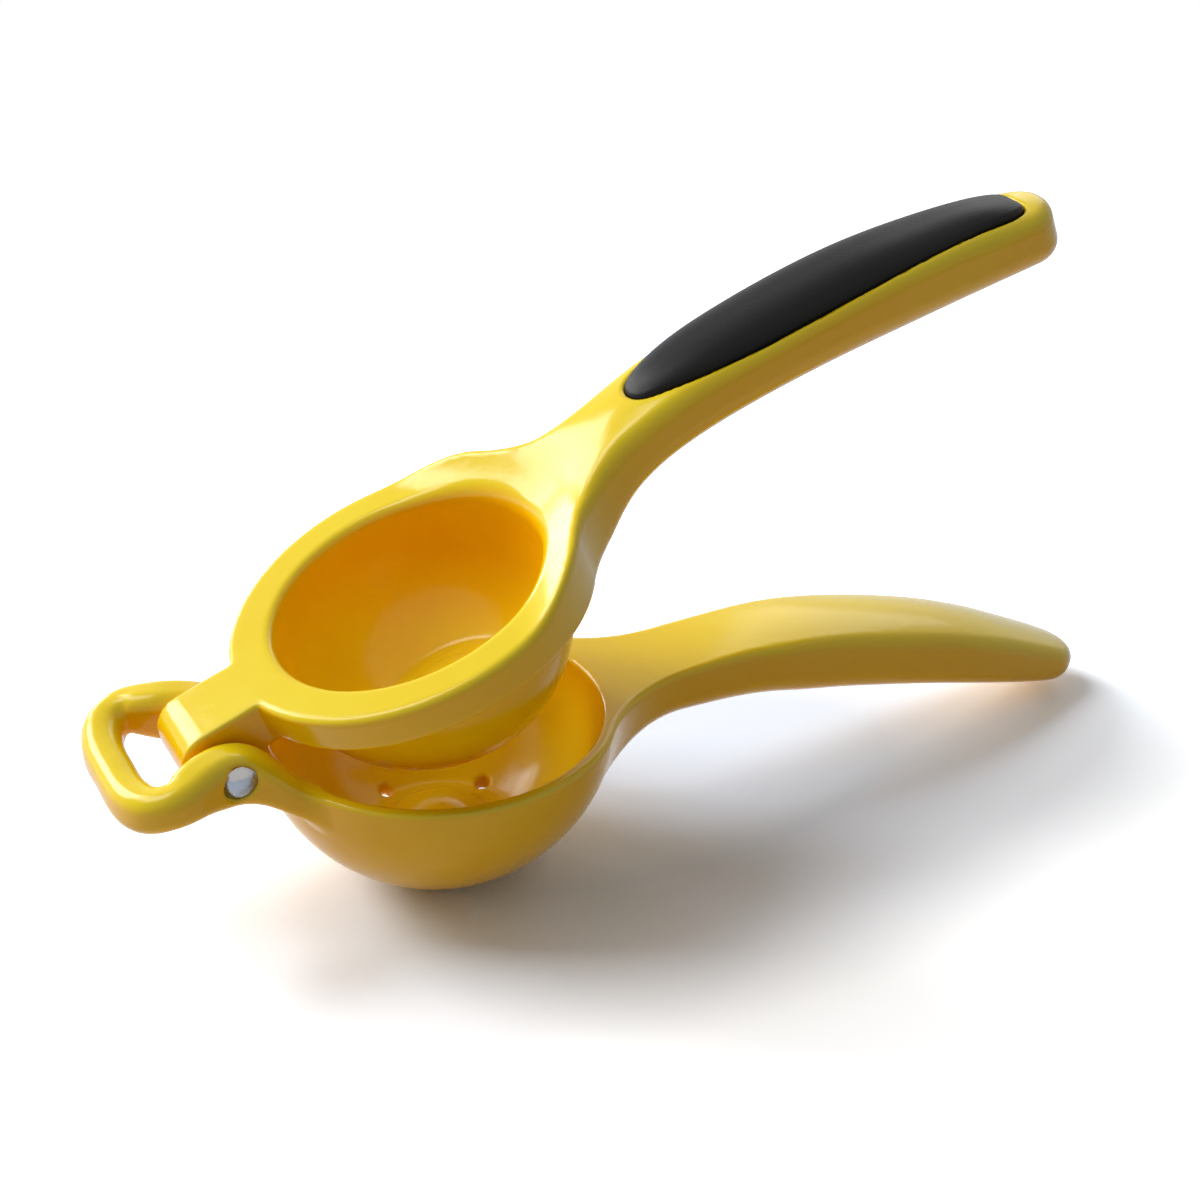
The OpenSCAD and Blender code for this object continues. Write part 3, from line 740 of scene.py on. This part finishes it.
def noise(add, place, scale, detail):
    """Soft noise from 0 to 1 with about as many lumps in a metre as its scale."""
    return add("ShaderNodeTexNoise", {"Vector": place, "Scale": scale, "Detail": detail}).outputs["Fac"]


def bumped(add, height, strength, distance, **under):
    """Normal of a surface raised by a height socket, by up to a distance in metres, over the normal
    under it."""
    return add("ShaderNodeBump", {"Height": height, "Strength": strength, "Distance": distance,
                                  **under}).outputs["Normal"]


def enamel_material():
    """Glossy yellow enamel with painted light and shade: its colour is paler on faces that look up and
    deeper on the rest. Its colour drifts slowly, its gloss is uneven, and a ripple and fine pits break its
    reflections."""
    finish = bpy.context.scene.squeezer_finish
    material, tree, shader, add = nodes_of("yellow_enamel")
    texture = add("ShaderNodeTexCoord").outputs
    place = texture["Object"]
    up = add("ShaderNodeSeparateXYZ", {0: texture["Normal"]}).outputs["Z"]
    drift = ranged(add, noise(add, place, scale=45.0, detail=2.0), low=-0.2, high=0.25)
    # Painted light: the share of the pale colour grows on faces that look up, plus a slow random drift.
    painted_light_and_drift = worked(add, "ADD", ranged(add, up, low=0.0, high=0.85, end=0.6), drift, use_clamp=True)
    cloud = noise(add, place, scale=160.0, detail=3.0)
    ripple = bumped(add, noise(add, place, scale=260.0, detail=2.0), strength=0.3, distance=0.2 * MM)
    pits = bumped(add, noise(add, place, scale=1300.0, detail=1.0), strength=0.2, distance=0.06 * MM,
                  Normal=ripple)
    fill(tree, shader, {
        "Base Color": mixed(add, painted_light_and_drift, finish.enamel_painted_shade, finish.enamel),
        "Roughness": ranged(add, cloud, low=finish.enamel_rough - finish.enamel_uneven,
                            high=finish.enamel_rough + finish.enamel_uneven),
        "Specular IOR Level": finish.enamel_specular,
        "Normal": pits})
    return material


def rubber_material():
    """Soft black rubber: cells of a leather grain with fine noise between them."""
    finish = bpy.context.scene.squeezer_finish
    material, tree, shader, add = nodes_of("grip_rubber")
    place = add("ShaderNodeTexCoord").outputs["Object"]
    cells = add("ShaderNodeTexVoronoi", {"Vector": place, "Scale": 1500.0}, feature="DISTANCE_TO_EDGE")
    pores = noise(add, place, scale=2500.0, detail=2.0)
    grain = worked(add, "ADD", cells.outputs["Distance"], pores)
    fill(tree, shader, {
        "Base Color": (*finish.rubber, 1),
        "Roughness": finish.rubber_rough,
        "Specular IOR Level": finish.rubber_specular,
        "Normal": bumped(add, grain, strength=0.35, distance=0.1 * MM)})
    return material


def steel_material():
    """Bright steel of a pressed rivet: a mottled gloss and small dents."""
    finish = bpy.context.scene.squeezer_finish
    material, tree, shader, add = nodes_of("pin_steel")
    cloud = noise(add, add("ShaderNodeTexCoord").outputs["Object"], scale=500.0, detail=2.0)
    fill(tree, shader, {
        "Base Color": (*finish.steel, 1),
        "Metallic": 1.0,
        "Roughness": ranged(add, cloud, low=finish.steel_smooth, high=finish.steel_rough),
        "Normal": bumped(add, cloud, strength=0.6, distance=0.4 * MM)})
    return material


def floor_material():
    """Pale floor that keeps the shadow: a matt colour for light, and stronger ones for the camera and in
    gloss. Near the object the floor is a painted shade, darker and cooler, which gloss sees too. The
    camera's colour goes from that painted shade to the open colour over a long oval round the object, and
    further out into plain white."""
    stage = bpy.context.scene.squeezer_stage
    material, tree, _, add = nodes_of("white_floor")
    rays = add("ShaderNodeLightPath").outputs
    mirrored = worked(add, "MAXIMUM", rays["Is Glossy Ray"], rays["Is Transmission Ray"])
    oval = add("ShaderNodeMapping", {
        "Vector": add("ShaderNodeTexCoord").outputs["Object"],
        "Location": (-OVAL_MIDDLE / OVAL_STRETCH, 0, 0),
        "Scale": (1 / OVAL_STRETCH, 1, 1)})
    away = add("ShaderNodeVectorMath", {0: oval.outputs["Vector"]}, operation="LENGTH").outputs["Value"]
    past_painted_shade = ranged(add, away, 0.0, 1.0, start=stage.painted_shade_end, end=stage.seen_start)
    shown = mixed(add, past_painted_shade, stage.floor_painted_shade, stage.floor_seen)
    met = mixed(add, mirrored, stage.floor, stage.floor_painted_shade)
    paint = add("ShaderNodeBsdfDiffuse", {"Color": mixed(add, rays["Is Camera Ray"], met, shown)})
    white = add("ShaderNodeEmission", {"Color": (1, 1, 1, 1), "Strength": 1.0})
    fading = ranged(add, away, 0.0, 1.0, start=stage.seen_end, end=stage.white_start)
    far = worked(add, "MULTIPLY", fading, rays["Is Camera Ray"])
    whole = add("ShaderNodeMixShader", {0: far, 1: paint.outputs[0], 2: white.outputs[0]})
    fill(tree, tree.nodes["Material Output"], {"Surface": whole.outputs[0]})
    return material


def white_surround():
    """World that is white to the camera and in gloss, and dimmer where it lights the object."""
    stage = bpy.context.scene.squeezer_stage
    world = bpy.data.worlds.new("white_surround")
    world.use_nodes = True
    add = adder(world.node_tree)
    rays = add("ShaderNodeLightPath").outputs
    mirrored = worked(add, "MAXIMUM", rays["Is Glossy Ray"], rays["Is Transmission Ray"])
    seen = worked(add, "MAXIMUM", rays["Is Camera Ray"], mirrored)
    fill(world.node_tree, world.node_tree.nodes["Background"],
         {"Color": (1, 1, 1, 1), "Strength": ranged(add, seen, stage.surround, 1.0)})
    return world


def direction(turn, rise):
    """Unit vector at a turn from +Y towards -X and a rise over the horizon."""
    return Vector((-math.sin(turn) * math.cos(rise), math.cos(turn) * math.cos(rise), math.sin(rise)))


class SQUEEZER_OT_strainer_arm(bpy.types.Operator):
    """Makes the lower casting: the strainer bowl, the ears, the loop and the lower handle"""
    bl_idname = "squeezer.strainer_arm"
    bl_label = "Strainer arm"

    def execute(self, context):
        scene = context.scene
        bowl, hinge, handle = scene.squeezer_bowl, scene.squeezer_hinge, scene.squeezer_handle
        low, high = (np.array(v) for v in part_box("strainer_arm"))
        points, faces = skin(strainer_field(bowl, hinge, handle), low, high, handle.step)
        add_mesh("strainer_casting", points, faces, "strainer_arm", "strainer_arm",
                 bpy.data.materials.get("yellow_enamel") or enamel_material())
        return {"FINISHED"}


class SQUEEZER_OT_press_arm(bpy.types.Operator):
    """Makes the upper casting: the press cup in its plate, the tongue and the upper handle"""
    bl_idname = "squeezer.press_arm"
    bl_label = "Press arm"

    def execute(self, context):
        scene = context.scene
        cup, hinge, handle = scene.squeezer_cup, scene.squeezer_hinge, scene.squeezer_handle
        low = np.array([-hinge.nose, 0, -cup.radius])
        high = np.array([handle.press_reach, cup.plate, max(height for _, height in UPPER_CROWN) * MM])
        points, faces = skin(press_field(cup, hinge, handle), low, high, handle.step)
        add_mesh("press_casting", raised(points, handle.rise), faces, "press_arm", "press_arm",
                 bpy.data.materials.get("yellow_enamel") or enamel_material())
        return {"FINISHED"}


class SQUEEZER_OT_hinge_pin(bpy.types.Operator):
    """Makes the riveted pin with its two domed heads"""
    bl_idname = "squeezer.hinge_pin"
    bl_label = "Hinge pin"

    def execute(self, context):
        hinge = context.scene.squeezer_hinge
        ear_out = hinge.tongue + hinge.tongue_gap + hinge.ear
        points, faces = turned_pin(hinge, ear_out)
        add_mesh("riveted_pin", points, faces, "strainer_arm", "hinge_pin", steel_material())
        return {"FINISHED"}


class SQUEEZER_OT_grip_pad(bpy.types.Operator):
    """Makes the soft pad let into the upper handle"""
    bl_idname = "squeezer.grip_pad"
    bl_label = "Grip pad"

    def execute(self, context):
        handle = context.scene.squeezer_handle
        points, faces = crowned_pad(handle)
        add_mesh("soft_pad", raised(points, handle.rise), faces, "press_arm", "grip_pad",
                 rubber_material())
        return {"FINISHED"}


class SQUEEZER_OT_stage(bpy.types.Operator):
    """Makes the floor, the light and the camera"""
    bl_idname = "squeezer.stage"
    bl_label = "Stage"

    def execute(self, context):
        scene, stage = context.scene, context.scene.squeezer_stage
        scene.view_settings.view_transform = "Standard"
        reach = FLOOR_REACH
        mesh = bpy.data.meshes.new("floor")
        mesh.from_pydata([(-reach, -reach, 0), (reach, -reach, 0), (reach, reach, 0), (-reach, reach, 0)],
                         [], [(0, 1, 2, 3)])
        mesh.materials.append(floor_material())
        floor = bpy.data.objects.new("floor", mesh)
        scene.collection.objects.link(floor)

        target = Vector(stage.target)
        camera = bpy.data.objects.new("camera", bpy.data.cameras.new("camera"))
        camera.data.sensor_width = SENSOR_WIDTH
        camera.data.lens = stage.focal_pixels * SENSOR_WIDTH / stage.picture_pixels
        camera.location = target + direction(stage.azimuth + math.pi, stage.elevation) * stage.distance
        camera.rotation_euler = (math.pi / 2 - stage.elevation, 0, stage.azimuth)
        scene.collection.objects.link(camera)
        scene.camera = camera

        for name, (turn, rise, size) in LAMPS.items():
            lamp = bpy.data.lights.new(f"{name}_light", "AREA")
            lamp.energy, lamp.shape, lamp.size = getattr(stage, name), "SQUARE", size
            way = direction(math.radians(turn), math.radians(rise))
            light = bpy.data.objects.new(lamp.name, lamp)
            light.location = target + LAMP_DISTANCE * way
            light.rotation_euler = (-way).to_track_quat("-Z", "Y").to_euler()
            scene.collection.objects.link(light)

        scene.world = white_surround()
        return {"FINISHED"}


PIECES = (SQUEEZER_OT_strainer_arm, SQUEEZER_OT_press_arm, SQUEEZER_OT_hinge_pin, SQUEEZER_OT_grip_pad,
          SQUEEZER_OT_stage)
SIZES = {"squeezer_bowl": BowlSizes, "squeezer_hinge": HingeSizes, "squeezer_cup": CupSizes,
         "squeezer_handle": HandleSizes, "squeezer_finish": FinishColours, "squeezer_stage": StageSizes}


class SQUEEZER_PT_panel(bpy.types.Panel):
    """Lists the squeezer's pieces and the stage"""
    bl_idname = "SQUEEZER_PT_panel"
    bl_label = "Citrus Squeezer"
    bl_space_type = "VIEW_3D"
    bl_region_type = "UI"
    bl_category = "Squeezer"

    def draw(self, context):
        for piece in PIECES:
            self.layout.operator(piece.bl_idname)
        for group, sizes in SIZES.items():
            box = self.layout.box()
            box.label(text=sizes.__doc__)
            for name in sizes.__annotations__:
                box.prop(getattr(context.scene, group), name)


def register():
    """Registers the sizes, the operators and the panel."""
    for sizes in SIZES.values():
        bpy.utils.register_class(sizes)
    for group, sizes in SIZES.items():
        setattr(bpy.types.Scene, group, PointerProperty(type=sizes))
    for shown in (*PIECES, SQUEEZER_PT_panel):
        bpy.utils.register_class(shown)


def unregister():
    """Takes the panel, the operators and the sizes out again."""
    for shown in (SQUEEZER_PT_panel, *reversed(PIECES)):
        bpy.utils.unregister_class(shown)
    for group, sizes in SIZES.items():
        delattr(bpy.types.Scene, group)
        bpy.utils.unregister_class(sizes)


def main():
    """Makes every piece and the stage."""
    register()
    for piece in PIECES:
        group, name = piece.bl_idname.split(".")
        getattr(getattr(bpy.ops, group), name)()


if __name__ == "__main__":
    main()
